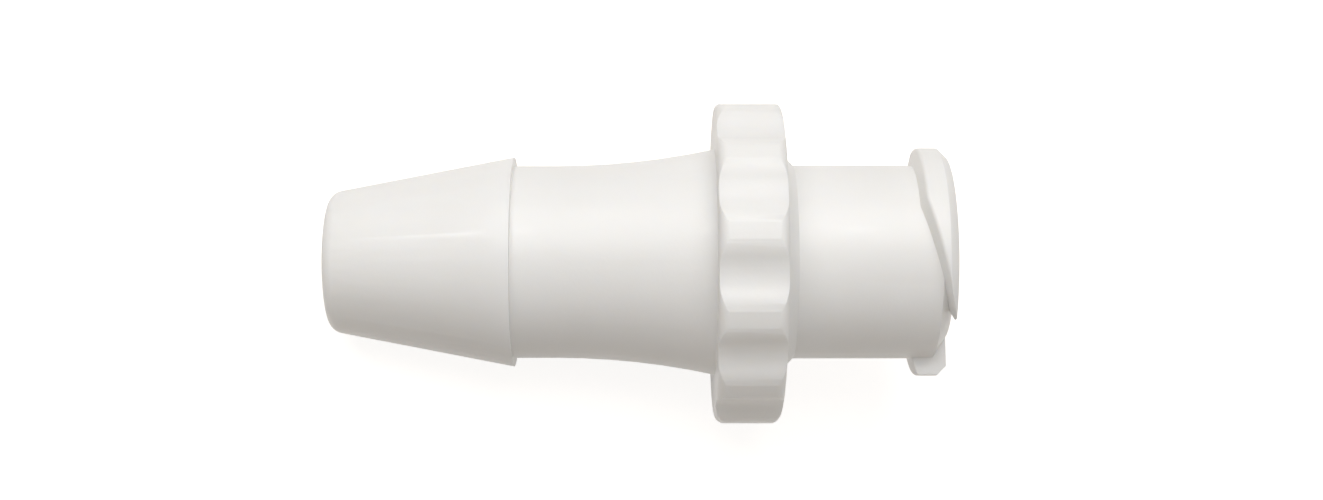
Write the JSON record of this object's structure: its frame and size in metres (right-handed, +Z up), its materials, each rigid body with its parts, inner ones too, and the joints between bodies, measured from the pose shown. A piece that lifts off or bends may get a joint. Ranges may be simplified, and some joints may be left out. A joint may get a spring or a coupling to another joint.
{
  "type": "luer lock fitting",
  "caption": "White moulded plastic female luer lock fitting with a scalloped grip collar and a tapered hose barb for flexible tubing.",
  "frame": {"origin": "on the floor under the middle of the fitting's bounding box, as it lies at rest", "axes": "+X from the hose barb to the luer end, along the floor; +Z up; the fitting's own axis climbs 12.8 degrees from +X towards +Z because it rests on its collar and on the mouth of its barb"},
  "size_m": [0.0218, 0.0108, 0.011],
  "materials": {
    "nylon": "natural white nylon, smooth satin moulding"
  },
  "bodies": {
    "root": {"luer_fitting": "nylon"}
  },
  "joints": []
}
